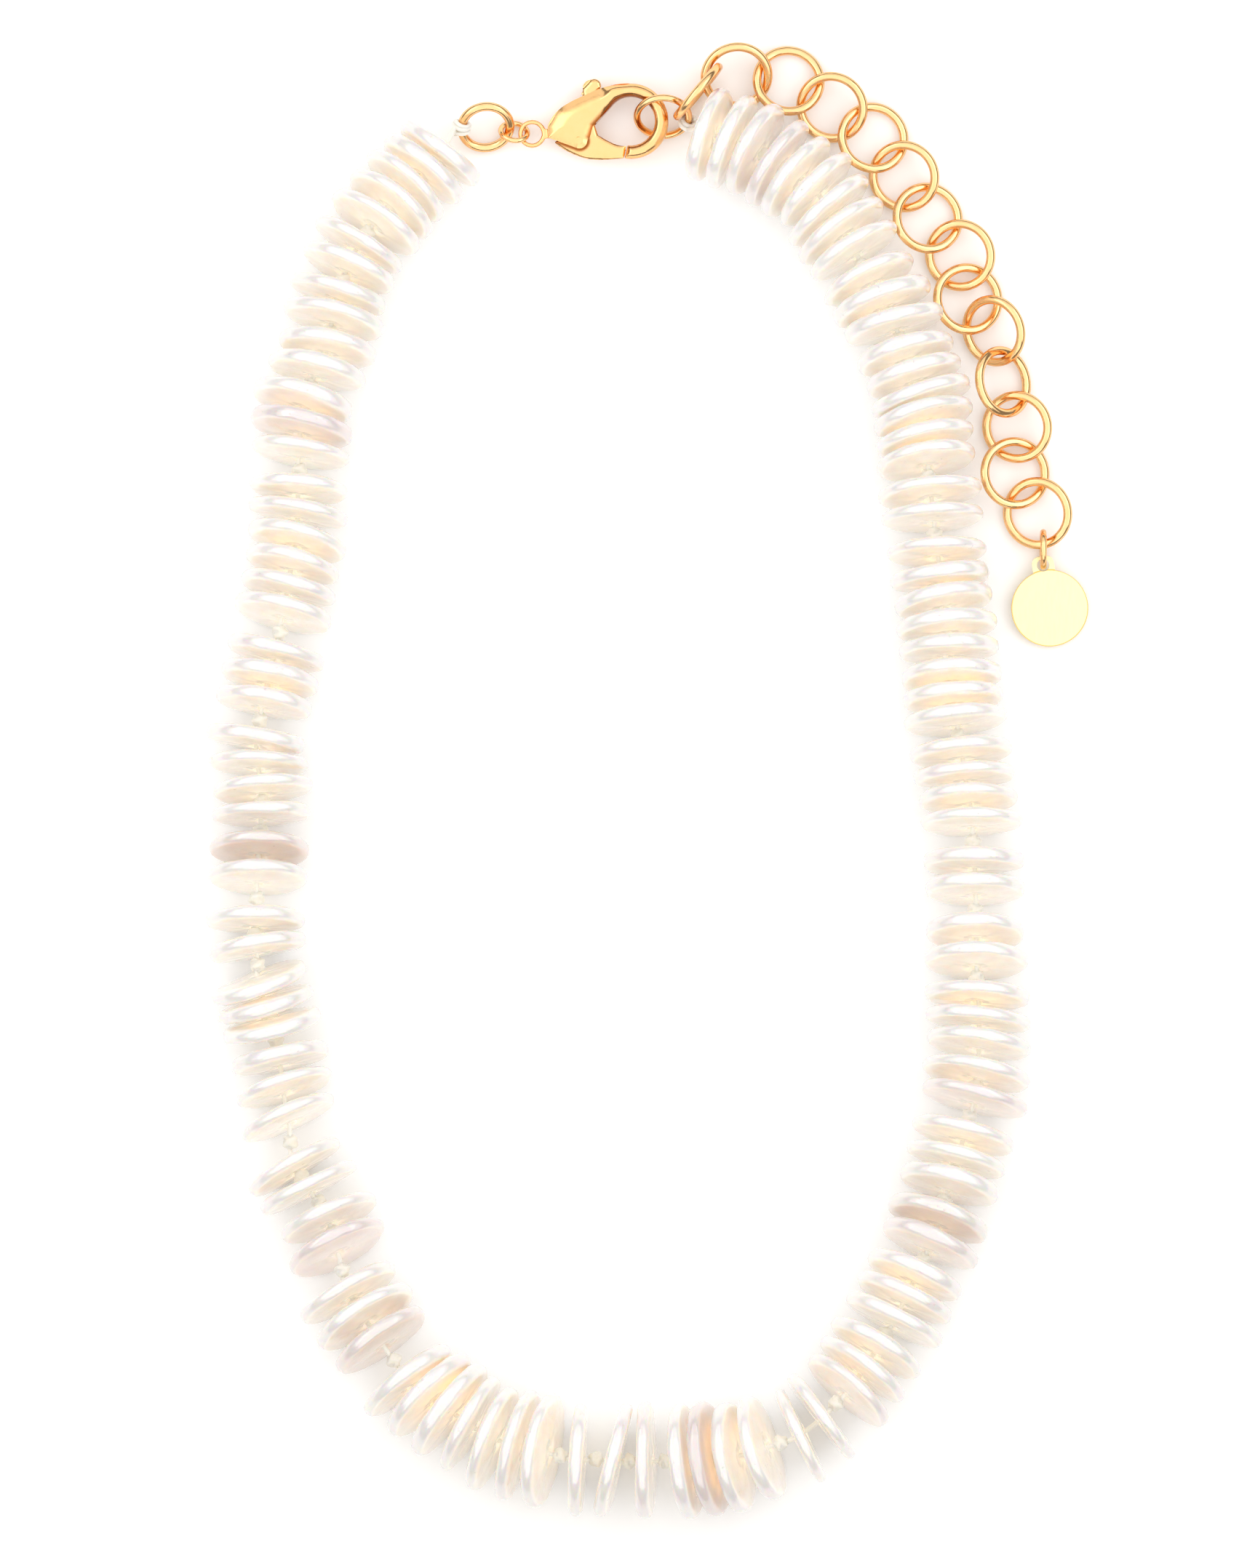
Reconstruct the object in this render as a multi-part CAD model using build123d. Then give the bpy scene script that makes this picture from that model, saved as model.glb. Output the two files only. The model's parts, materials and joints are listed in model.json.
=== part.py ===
from build123d import *
import os
from collections import namedtuple
from math import atan2, cos, degrees, radians, sin, sqrt, tan

# A necklace of drilled mother of pearl discs, lying flat on a table with its clasp done up.
# Millimetres. Plan positions are measured from the middle of the picture that it was drawn from,
# X to the right and Y away from the viewer. The finished model is moved to stand on Z = 0 with
# the middle of its bounding box above the origin.

# Discs
DISC_DIAMETER = 12.2
DISC_THICK = 2.2
DISC_BORE_DIAMETER = 1.9
DISC_SPACE = 0.12
LEAN_RIPPLE = 3.0
SIZE_RIPPLE = 0.025
OPEN_GAP_SHARE = 0.5

# Thread
THREAD_DIAMETER = 0.6
THREAD_SPACE = 0.1
THREAD_BEND_RADIUS = 12.0
KNOT_DIAMETER = 1.7
KNOT_SPACE = 0.1
KNOT_ENTRY_LENGTH = 0.57
ARC_SHARE = 0.45
LEAD_LENGTH = 2.0
START_ANGLE, START_RISE = 195.0, 20.0
FINISH_ANGLE, FINISH_RISE = -25.0, 75.0

# Extender chain: round links of one size
LINK_RADIUS = 4.05
LINK_WIRE_DIAMETER = 1.15

# Rings at the clasp
END_RING_RADIUS = 3.1
END_RING_WIRE = 1.15
CLASP_LINK_RADIUS = 1.7
CLASP_LINK_WIRE = 0.7
CLASP_RING_RADIUS = 3.3
CLASP_RING_WIRE = 0.9

# Clasp, laid out from its pivot, with its own x towards the nose and y towards the thumb tab
CLASP_X, CLASP_Y = -6.06, 81.96
CLASP_TILT = 3.5
CLASP_THICK = 3.6
NOSE_THICK = 2.3
HOOK_X, HOOK_Y = 6.5, 2.5
HOOK_OUTER_RADIUS = 4.8
HOOK_INNER_RADIUS = 3.1
TIP_ANGLE = -99.0
TIP_SLANT = 2.0
HOOK_FOOT_ANGLE = 145.0
TAPER_FROM_LENGTH = 3.0
EDGE_ROUND_RADIUS = 0.35
LEVEL_ENOUGH = 0.9
EYE_X, EYE_Y = -6.1, 0.93
EYE_RADIUS = 1.5
EYE_WIRE = 0.6
EYE_NECK = 1.2
PIN_DIAMETER = 0.9
PIN_SEAT = 0.01
PIN_RUN = 0.04
PIN_BOSS_RADIUS = 1.0
PIN_BOSS_TURN = -120.0
GATE_THICK = 1.5
GATE_SPACE = 0.12
TIP_SPACE = 0.12
GATE_SWING = 20.0
SWING_STEPS = 4

# Charm
CHARM_RING_RADIUS = 2.2
CHARM_RING_WIRE = 0.8
CHARM_DIAMETER = 9.8
CHARM_THICK = 0.75
CHARM_EAR_WIDTH = 2.8
CHARM_EAR_REACH = 5.6
CHARM_EAR_WALL = 0.3
CHARM_EAR_HEIGHT = 1.6
CHARM_HOLE_DIAMETER = 1.6
CHARM_SWING = 9.0

# The string's route. Each row is a run of discs that lean alike, from the clasp ring's far side
# down to the lowest point and back up. x and y are the bore of the run's first disc, turn is the
# direction of a disc's level diameter in degrees, lean is how far its top leans back from the
# way the string goes, and size is a share of DISC_DIAMETER.
Run = namedtuple("Run", "x y discs turn lean size")
LEFT_ROUTE = [
    Run(-23.9, 80.3, 2, -38, 10, 0.97),
    Run(-28.3, 76.2, 3, -42, 16, 0.975),
    Run(-34.3, 68.7, 2, -30, 12, 0.985),
    Run(-36.9, 62.4, 2, -18, 11, 0.99),
    Run(-38.2, 55.6, 2, -11, 14, 1.0),
    Run(-41.4, 48.8, 3, -16, 14, 1.01),
    Run(-41.9, 37.6, 2, -6, 10, 1.0),
    Run(-42.1, 31.0, 4, -15, 13, 0.985),
    Run(-44.8, 16.7, 3, -14, 10, 0.975),
    Run(-47.4, 5.8, 2, -9, 8, 0.975),
    Run(-46.5, -0.6, 2, 5, 12, 0.985),
    Run(-46.9, -8.3, 2, -1, 17, 0.985),
    Run(-47.4, -17.3, 2, 0, 8, 0.975),
    Run(-46.9, -25.3, 3, 20, -6, 0.99),
    Run(-44.2, -34.9, 3, 12, 12, 0.99),
    Run(-42.5, -48.7, 2, 30, 6, 1.01),
    Run(-38.0, -55.2, 2, 24, 16, 1.03),
    Run(-35.6, -64.8, 3, 30, 13, 1.05),
    Run(-28.0, -75.9, 4, 38, 12, 1.065),
    Run(-17.2, -83.4, 3, 68, 12, 1.10),
    Run(-6.3, -86.0, 1, 87, 2, 1.165),
    Run(-1.8, -86.1, 1, 76, 5, 1.165),
    Run(2.3, -86.1, 1, 90, 3, 1.16),
]
RIGHT_ROUTE = [
    Run(7.4, -86.2, 2, 97, 12, 1.15),
    Run(13.5, -85.7, 2, 100, 15, 1.115),
    Run(22.0, -83.0, 2, 116, -2, 1.015),
    Run(28.2, -77.2, 3, 138, -12, 1.01),
    Run(34.0, -68.2, 3, 153, -12, 1.03),
    Run(38.6, -58.5, 2, 157, -15, 1.01),
    Run(41.0, -50.9, 3, 164, -12, 1.025),
    Run(44.2, -40.0, 2, 166, -14, 1.05),
    Run(44.8, -33.0, 3, 172, -10, 1.065),
    Run(44.4, -22.4, 2, 178, -19, 1.015),
    Run(44.3, -13.3, 2, 180, -12, 0.985),
    Run(43.9, -4.8, 4, 181, -11, 1.0),
    Run(41.8, 8.2, 3, 186, -14, 1.025),
    Run(41.0, 17.2, 2, 183, -12, 1.0),
    Run(40.3, 23.4, 2, 190, -10, 1.0),
    Run(39.4, 29.6, 1, 183, -10, 1.0),
    Run(38.9, 34.0, 2, 184, -13, 1.01),
    Run(38.1, 41.2, 3, 190, -14, 1.0),
    Run(37.5, 49.3, 3, 198, -13, 1.0),
    Run(34.0, 58.6, 3, 196, -12, 1.0),
    Run(28.8, 67.9, 3, 212, -13, 1.0),
    Run(24.0, 75.7, 3, 226, -12, 0.985),
    Run(16.2, 80.9, 3, 241, -13, 0.985),
]
ROUTE_END = Run(7.0, 83.7, 0, 256, -14, 0.97)

# Rings lie where they fell, their x and y measured from the clasp's pivot. heading is the way that
# a ring points in plan, roll raises its left side and dip lowers its far end, all in degrees.
Ring = namedtuple("Ring", "x y heading roll dip")
END_RING = Ring(-11.99, 1.76, -17, 31, 17)
CLASP_LINK = Ring(-8.39, 1.18, -7.5, -48.5, 2.5)
CLASP_RING = Ring(10.56, 3.07, 0, 45.5, 0)
CHARM_RING = Ring(59.02, -52.06, -90, 90, 0)

# The chain's links in order from the clasp, their x and y also measured from its pivot. Each
# points from its neighbour before to the one after, and rolls the other way from them, as linked
# rings do.
Link = namedtuple("Link", "x y roll dip")
FIRST_LINK_HEADING = 50.1
CHAIN = [
    Link(15.04, 6.19, 90, -1),
    Link(19.96, 8.23, 25, 3),
    Link(26.59, 7.67, -16, 0),
    Link(32.12, 4.30, 19, 0),
    Link(37.34, 0.41, -16, 1),
    Link(41.29, -4.51, 18, 0),
    Link(44.31, -9.82, -18, 0),
    Link(48.45, -14.55, 18, 0),
    Link(49.42, -20.14, -18, 0),
    Link(52.71, -24.22, 35, -1),
    Link(53.88, -30.74, -42, 2),
    Link(55.71, -36.45, 18, 4),
    Link(55.43, -42.34, -18, 0),
    Link(58.31, -47.43, 20, -1),
]

# Outlines of the clasp's two pieces, from the pivot
HOUSING_TAIL = [(-3.98, 0.4), (-4.07, 1.85)]
HOUSING_BACK = [(-2.5, 4.07), (0.28, 5.64), (3.6, 6.95)]
HOUSING_FRONT = [(1.75, 1.9), (1.3, 0.5)]
GATE_UNDER = [(3.2, -2.4), (0.83, -2.25), (-0.65, -1.76), (-2.0, -1.1), (-3.24, -0.19)]
GATE_OVER = [(4.7, -0.5), (3.4, 0.1), (2.3, 0.74)]
GATE_STEM = [(1.76, 2.5), (2.45, 6.2)]
GATE_TAB_TIP = (1.6, 7.8)
GATE_STEM_BACK = [(0.5, 6.2), (-0.65, 2.5), (-1.5, 1.0)]


def ripple(count):
    """An even, patternless spread of values from -1 to 1."""
    return 2 * (count * (sqrt(5) - 1) / 2 % 1) - 1


def disc_frame(turn, lean):
    """A disc's level direction and its axis, which points the way that the string goes."""
    level = Vector(cos(radians(turn)), sin(radians(turn)), 0)
    axis = Vector(
        sin(radians(turn)) * cos(radians(lean)),
        -cos(radians(turn)) * cos(radians(lean)),
        sin(radians(lean)),
    )
    return level, axis


Disc = namedtuple("Disc", "x y diameter level axis")


def disc_reach(disc, way):
    """How far a disc stands out from its middle along a unit vector."""
    face = disc.diameter / 2 - DISC_THICK / 2
    return DISC_THICK / 2 + face * sqrt(max(0.0, 1 - disc.axis.dot(way) ** 2))


def disc_pitch(first, second, way):
    """The least step along the string at which two discs in a row stay clear of each other."""
    between = (first.axis + second.axis).normalized()
    apart = disc_reach(first, between) + disc_reach(second, between) + DISC_SPACE
    return apart / between.dot(way)


def run_discs(run, after, count):
    """The discs of one run and its knotted gap, which lies before the next run's first disc."""
    start = Vector(run.x, run.y, 0)
    way = Vector(after.x, after.y, 0) - start
    length = way.length
    way = way.normalized()
    row = []
    for place in range(run.discs + 1):
        share = place / run.discs
        lean = (run if place < run.discs else after).lean + LEAN_RIPPLE * ripple(count + place)
        size = run.size + (after.size - run.size) * share
        size *= 1 + SIZE_RIPPLE * ripple(2 * (count + place))
        level, axis = disc_frame(run.turn + (after.turn - run.turn) * share, lean)
        row.append(Disc(run.x, run.y, DISC_DIAMETER * size, level, axis))
    steps = [disc_pitch(a, b, way) for a, b in zip(row, row[1:])]
    spare = length - sum(steps)
    even = spare * (1 - OPEN_GAP_SHARE) / run.discs
    placed = []
    along = 0.0
    for disc, step in zip(row, steps):
        placed.append(disc._replace(x=start.X + way.X * along, y=start.Y + way.Y * along))
        along += step + even
    return placed


def lay_out(route):
    """Every disc of the necklace, and the places of those that end a run."""
    discs = []
    ends = []
    for run, after in zip(route, route[1:]):
        discs += run_discs(run, after, len(discs))
        ends.append(len(discs) - 1)
    return discs, ends


def disc_centre(disc):
    """A leaning disc's middle, where the lowest point of its round rim is at Z = 0."""
    face = disc.diameter / 2 - DISC_THICK / 2
    upright = sqrt(1 - disc.axis.Z**2)
    return Vector(disc.x, disc.y, face * upright + DISC_THICK / 2)


def disc_solid(disc):
    """A flat disc with a bore through it and a full round rim."""
    half = DISC_THICK / 2
    face = disc.diameter / 2 - half
    bore = DISC_BORE_DIAMETER / 2
    rim = ThreePointArc((face, -half), (disc.diameter / 2, 0), (face, half))
    sides = Polyline((face, half), (bore, half), (bore, -half), (face, -half))
    solid = revolve(Plane.XZ * make_face(sides + rim), Axis.Z)
    return Plane(disc_centre(disc), x_dir=disc.level, z_dir=disc.axis) * solid


def ring_plane(ring, radius, wire):
    """A ring's plane: its X points along the heading, and the wire just meets Z = 0."""
    heading = radians(ring.heading)
    dip = radians(ring.dip)
    roll = radians(ring.roll)
    ahead = Vector(cos(heading) * cos(dip), sin(heading) * cos(dip), -sin(dip))
    left = Vector(-sin(heading), cos(heading), 0)
    side = left * cos(roll) + ahead.cross(left) * sin(roll)
    axis = ahead.cross(side)
    lift = radius * sqrt(1 - axis.Z**2) + wire / 2
    return Plane((CLASP_X + ring.x, CLASP_Y + ring.y, lift), x_dir=ahead, z_dir=axis)


def ring_solid(ring, radius, wire):
    return ring_plane(ring, radius, wire) * Torus(radius, wire / 2)


def chain_rings():
    """The chain's links as rings, each with its heading along the chain."""
    rings = []
    for place, link in enumerate(CHAIN):
        before = CHAIN[max(place - 1, 0)]
        after = CHAIN[place + 1] if place + 1 < len(CHAIN) else CHARM_RING
        heading = degrees(atan2(after.y - before.y, after.x - before.x))
        heading = heading if place else FIRST_LINK_HEADING
        rings.append(Ring(link.x, link.y, heading, link.roll, link.dip))
    return rings


def thread_loop(ring, radius, wire, angle):
    """A turn of thread round a ring's wire at an angle from its heading, and the way out."""
    plane = ring_plane(ring, radius, wire)
    out = Vector(cos(radians(angle)), sin(radians(angle)), 0)
    along = Vector(out.Y, -out.X, 0)
    reach = wire / 2 + THREAD_DIAMETER / 2 + THREAD_SPACE
    seat = Plane(
        plane.from_local_coords(out * radius),
        x_dir=plane.from_local_coords(out) - plane.origin,
        z_dir=plane.from_local_coords(along) - plane.origin,
    )
    return seat, reach


def bore_mouths(before, after):
    """Where the thread leaves one disc's bore and enters the next one's."""
    half = DISC_THICK / 2
    return disc_centre(before) + before.axis * half, disc_centre(after) - after.axis * half


def gap_points(leaving, entering):
    """The thread's corners in a gap: one in a narrow gap, one near each bore in a wide one."""
    room = (entering - leaving).length
    if room < KNOT_DIAMETER + 2 * KNOT_SPACE:
        return [(leaving + entering) / 2]
    way = (entering - leaving) / room
    return [leaving + way * KNOT_ENTRY_LENGTH, entering - way * KNOT_ENTRY_LENGTH]


def path_radii(points):
    """An arc for each corner, up to THREAD_BEND_RADIUS and as large as the runs beside it allow."""
    radii = []
    for before, at, after in zip(points, points[1:], points[2:]):
        turn = (at - before).get_angle(after - at)
        shorter = min((at - before).length, (after - at).length)
        radii.append(min(THREAD_BEND_RADIUS, ARC_SHARE * shorter / tan(radians(turn / 2))))
    return radii


def thread_solid(discs, ends):
    """The thread through every bore, a knot in each open gap and a turn round each end ring."""
    centres = [disc_centre(disc) for disc in discs]
    gaps = [bore_mouths(a, b) for a, b in zip(discs, discs[1:])]
    start, start_reach = thread_loop(END_RING, END_RING_RADIUS, END_RING_WIRE, START_ANGLE)
    finish, finish_reach = thread_loop(
        CLASP_RING, CLASP_RING_RADIUS, CLASP_RING_WIRE, FINISH_ANGLE
    )
    first = start.from_local_coords(
        Vector(cos(radians(START_RISE)), sin(radians(START_RISE)), 0) * start_reach
    )
    last = finish.from_local_coords(
        Vector(cos(radians(FINISH_RISE)), sin(radians(FINISH_RISE)), 0) * finish_reach
    )
    lead_in = centres[0] - discs[0].axis * LEAD_LENGTH
    lead_out = centres[-1] + discs[-1].axis * LEAD_LENGTH
    points = [first, lead_in]
    for leaving, entering in gaps:
        points += gap_points(leaving, entering)
    points += [lead_out, last]
    path = FilletPolyline(*points, radius=path_radii(points))
    section = Plane(origin=path @ 0, z_dir=path % 0) * Circle(THREAD_DIAMETER / 2)
    thread = sweep(section, path=path)
    extras = [
        start * Torus(start_reach, THREAD_DIAMETER / 2),
        finish * Torus(finish_reach, THREAD_DIAMETER / 2),
    ]
    for place in ends[:-1]:
        leaving, entering = gaps[place]
        if (entering - leaving).length > KNOT_DIAMETER + 2 * KNOT_SPACE:
            knot = Plane((leaving + entering) / 2, z_dir=entering - leaving)
            extras.append(knot * Sphere(KNOT_DIAMETER / 2))
    return thread.fuse(*extras)


def outline_points(points):
    return [Vector(x, y) for x, y in points]


def polar(radius, angle, middle=(0, 0)):
    """A point in the plane at an angle in degrees about a middle."""
    x, y = middle
    return Vector(x + radius * cos(radians(angle)), y + radius * sin(radians(angle)))


def slab(face, thick):
    """A flat shape made as thick on both sides of its plane."""
    return extrude(face, amount=thick / 2, both=True)


def housing_face():
    """The clasp's housing, its pin boss and the hook that closes on the gate's tip."""
    hook = (HOOK_X, HOOK_Y)
    outer = CenterArc(hook, HOOK_OUTER_RADIUS, 90, TIP_ANGLE - 90)
    inner_turn = HOOK_FOOT_ANGLE - TIP_ANGLE - TIP_SLANT
    inner = CenterArc(hook, HOOK_INNER_RADIUS, TIP_ANGLE + TIP_SLANT, inner_turn)
    tail = outline_points(HOUSING_TAIL)
    back = Spline(tail[-1], *outline_points(HOUSING_BACK), outer @ 0)
    front = outline_points(HOUSING_FRONT)
    boss_start = polar(PIN_BOSS_RADIUS, 0)
    boss = CenterArc((0, 0), PIN_BOSS_RADIUS, 0, PIN_BOSS_TURN)
    edges = [
        back,
        outer,
        Line(outer @ 1, inner @ 0),
        inner,
        Polyline(inner @ 1, *front, boss_start),
        boss,
        Line(boss @ 1, tail[0]),
        Line(tail[0], tail[1]),
    ]
    return make_face(edges)


def gate_face():
    """The lever: its gate, hub, stem and thumb tab, closed against the hook's tip."""
    hook = (HOOK_X, HOOK_Y)
    tip_low = polar(HOOK_OUTER_RADIUS, TIP_ANGLE, hook)
    tip_high = polar(HOOK_INNER_RADIUS, TIP_ANGLE + TIP_SLANT, hook)
    away = (tip_high - tip_low).normalized()
    back = Vector(-away.Y, away.X) * TIP_SPACE
    low = tip_low + back
    high = tip_high + back - away * TIP_SPACE
    stem = outline_points(GATE_STEM)
    stem_back = outline_points(GATE_STEM_BACK)
    under = outline_points(GATE_UNDER)
    over = outline_points(GATE_OVER)
    edges = [
        Spline(low, *under),
        Line(low, high),
        Spline(high, *over),
        Polyline(over[-1], *stem),
        ThreePointArc(stem[-1], GATE_TAB_TIP, stem_back[0]),
        Polyline(*stem_back, under[-1]),
    ]
    return make_face(edges)


def gate_sweep(face):
    """The room that the lever needs in the housing, over its whole swing."""
    room = offset(face, GATE_SPACE)
    turns = [Rot(Z=GATE_SWING * step / SWING_STEPS) * room for step in range(SWING_STEPS + 1)]
    return turns[0].fuse(*turns[1:])


def nose_taper():
    """The wedges that thin the hook from the housing's thickness down to the nose's."""
    reach = HOOK_X + HOOK_OUTER_RADIUS
    thick, thin = CLASP_THICK / 2, NOSE_THICK / 2
    far = reach + thick
    drop = (thick - thin) / (reach - TAPER_FROM_LENGTH) * (far - TAPER_FROM_LENGTH)
    start, over = TAPER_FROM_LENGTH, 2 * thick
    corners = (start, thick), (far, thick - drop), (far, over), (start, over)
    side = Polyline(*corners, close=True)
    wedge = slab(Plane.XZ * make_face(side), 4 * HOOK_OUTER_RADIUS)
    wedge = Pos(0, HOOK_Y, 0) * wedge
    return wedge, mirror(wedge, Plane.XY)


def clasp_body():
    body = slab(housing_face(), CLASP_THICK)
    for wedge in nose_taper():
        body -= wedge
    rim = [e for f in body.faces() if abs(f.normal_at().Z) > LEVEL_ENOUGH for e in f.edges()]
    body = fillet(rim, EDGE_ROUND_RADIUS)
    eye = Pos(EYE_X, EYE_Y) * Torus(EYE_RADIUS, EYE_WIRE / 2)
    neck_from = EYE_X + EYE_RADIUS
    neck_long = HOUSING_TAIL[0][0] - neck_from + EDGE_ROUND_RADIUS
    neck = Pos(neck_from + neck_long / 2, EYE_Y) * Box(neck_long, EYE_NECK, EYE_WIRE)
    body += eye + neck
    body -= slab(gate_sweep(gate_face()), GATE_THICK + 2 * GATE_SPACE)
    body -= Cylinder(PIN_DIAMETER / 2 + PIN_SEAT, 2 * CLASP_THICK)
    return body


def clasp_gate():
    return slab(gate_face(), GATE_THICK) - Cylinder(PIN_DIAMETER / 2 + PIN_RUN, CLASP_THICK)


def clasp_plane():
    """The clasp's own plane: tilted so that the nose is raised and the tail's edge lies at Z = 0."""
    tilt = radians(CLASP_TILT)
    tail = -HOUSING_TAIL[1][0]
    lift = CLASP_THICK / 2 * cos(tilt) + tail * sin(tilt)
    return Plane(
        (CLASP_X, CLASP_Y, lift), x_dir=(cos(tilt), 0, sin(tilt)), z_dir=(-sin(tilt), 0, cos(tilt))
    )


def charm_solid():
    """A flat round tag with a pierced ear, its ear raised on the ring that passes through it."""
    ring = ring_plane(CHARM_RING, CHARM_RING_RADIUS, CHARM_RING_WIRE)
    reach = CHARM_EAR_REACH + CHARM_DIAMETER / 2
    rise = CHARM_EAR_HEIGHT - CHARM_THICK / 2
    slope = degrees(atan2(rise, reach))
    drop = ring.origin.Z - CHARM_EAR_HEIGHT
    away = sqrt(CHARM_RING_RADIUS**2 - drop**2)
    seat = Vector(ring.origin.X, ring.origin.Y - away, CHARM_EAR_HEIGHT)
    tag = slab(Circle(CHARM_DIAMETER / 2), CHARM_THICK)
    ear_top = CHARM_EAR_REACH + CHARM_HOLE_DIAMETER / 2 + CHARM_EAR_WALL
    ear = Rectangle(CHARM_EAR_WIDTH, ear_top, align=(Align.CENTER, Align.MIN))
    ear = fillet(ear.vertices().group_by(Axis.Y)[-1], CHARM_EAR_WIDTH / 3)
    tag += slab(ear, CHARM_THICK)
    tag -= Pos(0, CHARM_EAR_REACH) * Cylinder(CHARM_HOLE_DIAMETER / 2, 2 * CHARM_THICK)
    turn = Rot(Z=CHARM_SWING) * Rot(X=slope)
    return Location(seat) * turn * Pos(0, -CHARM_EAR_REACH, 0) * tag


def build():
    """Every piece by its name, where it was drawn."""
    route = LEFT_ROUTE + RIGHT_ROUTE + [ROUTE_END]
    discs, ends = lay_out(route)
    left_count = sum(run.discs for run in LEFT_ROUTE)
    solids = [disc_solid(disc) for disc in discs]
    clasp = clasp_plane()
    pieces = {
        "disc_string_left": Compound(children=solids[:left_count]),
        "disc_string_right": Compound(children=solids[left_count:]),
        "thread": thread_solid(discs, ends),
        "end_ring": ring_solid(END_RING, END_RING_RADIUS, END_RING_WIRE),
        "clasp_link": ring_solid(CLASP_LINK, CLASP_LINK_RADIUS, CLASP_LINK_WIRE),
        "clasp_body": clasp * clasp_body(),
        "clasp_gate": clasp * clasp_gate(),
        "clasp_pin": clasp * Cylinder(PIN_DIAMETER / 2, CLASP_THICK),
        "clasp_ring": ring_solid(CLASP_RING, CLASP_RING_RADIUS, CLASP_RING_WIRE),
    }
    for place, link in enumerate(chain_rings()):
        pieces[f"link_{place + 1:02d}"] = ring_solid(link, LINK_RADIUS, LINK_WIRE_DIAMETER)
    pieces["charm_ring"] = ring_solid(CHARM_RING, CHARM_RING_RADIUS, CHARM_RING_WIRE)
    pieces["charm"] = charm_solid()
    return pieces


def main():
    os.makedirs("parts", exist_ok=True)
    pieces = build()
    boxes = [piece.bounding_box() for piece in pieces.values()]
    low = [min(tuple(box.min)[axis] for box in boxes) for axis in range(3)]
    high = [max(tuple(box.max)[axis] for box in boxes) for axis in range(3)]
    shift = Pos(-(low[0] + high[0]) / 2, -(low[1] + high[1]) / 2, -low[2])
    print("box", [round(h - l, 3) for l, h in zip(low, high)], "moved by", shift.position)
    pivot = shift * Location(clasp_plane())
    print("clasp pivot", pivot.position, "axis", (shift * clasp_plane().location).orientation)
    for name, piece in pieces.items():
        export_step(shift * piece, f"parts/{name}.step")


main()
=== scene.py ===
import json
import bmesh
import bpy
import numpy as np
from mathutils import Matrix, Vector


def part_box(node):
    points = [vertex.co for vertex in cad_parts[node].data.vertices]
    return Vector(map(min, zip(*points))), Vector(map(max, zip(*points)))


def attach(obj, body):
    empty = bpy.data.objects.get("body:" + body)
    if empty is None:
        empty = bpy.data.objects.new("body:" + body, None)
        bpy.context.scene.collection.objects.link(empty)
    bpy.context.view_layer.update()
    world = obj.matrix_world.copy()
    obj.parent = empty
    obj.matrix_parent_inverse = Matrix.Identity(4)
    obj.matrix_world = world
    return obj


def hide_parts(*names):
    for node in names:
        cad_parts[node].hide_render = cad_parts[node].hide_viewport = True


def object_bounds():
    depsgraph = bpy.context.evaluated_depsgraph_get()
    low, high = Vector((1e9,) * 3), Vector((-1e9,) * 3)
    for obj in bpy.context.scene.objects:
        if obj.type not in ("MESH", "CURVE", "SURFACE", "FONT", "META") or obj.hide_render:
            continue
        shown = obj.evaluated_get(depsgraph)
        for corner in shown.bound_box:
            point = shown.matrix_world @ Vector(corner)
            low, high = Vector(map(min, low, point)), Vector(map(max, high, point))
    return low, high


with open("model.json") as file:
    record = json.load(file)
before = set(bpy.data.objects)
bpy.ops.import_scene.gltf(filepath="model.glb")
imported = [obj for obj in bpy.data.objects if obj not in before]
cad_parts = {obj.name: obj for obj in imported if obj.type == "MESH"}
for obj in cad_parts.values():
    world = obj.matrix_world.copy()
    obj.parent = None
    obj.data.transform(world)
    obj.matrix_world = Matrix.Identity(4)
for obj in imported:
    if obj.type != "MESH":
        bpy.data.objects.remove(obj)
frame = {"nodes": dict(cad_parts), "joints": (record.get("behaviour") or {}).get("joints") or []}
cad_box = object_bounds()

# The camera hangs straight over the middle of the flat lay, far enough up that the
# string hardly leans in it. The photograph is taller than it is wide.
MIDDLE = (-0.002643, -0.000597)
SEEN_HEIGHT = 0.19943
STRING_HEIGHT = 0.0065
CAMERA_HEIGHT = 2.0
SENSOR = 24.0
camera = bpy.data.objects.new("camera", bpy.data.cameras.new("camera"))
bpy.context.collection.objects.link(camera)
camera.location = (*MIDDLE, CAMERA_HEIGHT)
camera.data.sensor_fit = "VERTICAL"
camera.data.sensor_height = SENSOR
camera.data.lens = SENSOR * (CAMERA_HEIGHT - STRING_HEIGHT) / SEEN_HEIGHT
camera.data.clip_start = 0.01
camera.data.clip_end = 20
bpy.context.scene.camera = camera
bpy.context.scene.view_settings.view_transform = "Standard"


# The studio is a light tent: a broad sheet overhead, a low panel on each of the four sides and
# pale walls all round, so the floor is nearly shadowless and every rim has a wide white highlight.
TENT_WHITE = (1.0, 0.99, 0.97)
SIDE_PANEL = (0.36, 0.12)
SIDE_POWER = 0.11


def soft_light(name, place, aim, size, power, colour):
    """A rectangular light at place that faces aim."""
    light = bpy.data.lights.new(name, "AREA")
    light.shape = "RECTANGLE"
    light.size, light.size_y = size
    light.energy = power
    light.color = colour
    held = bpy.data.objects.new(name, light)
    bpy.context.collection.objects.link(held)
    held.location = place
    held.rotation_euler = (Vector(aim) - Vector(place)).to_track_quat("-Z", "Y").to_euler()
    held.visible_camera = False


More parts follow.
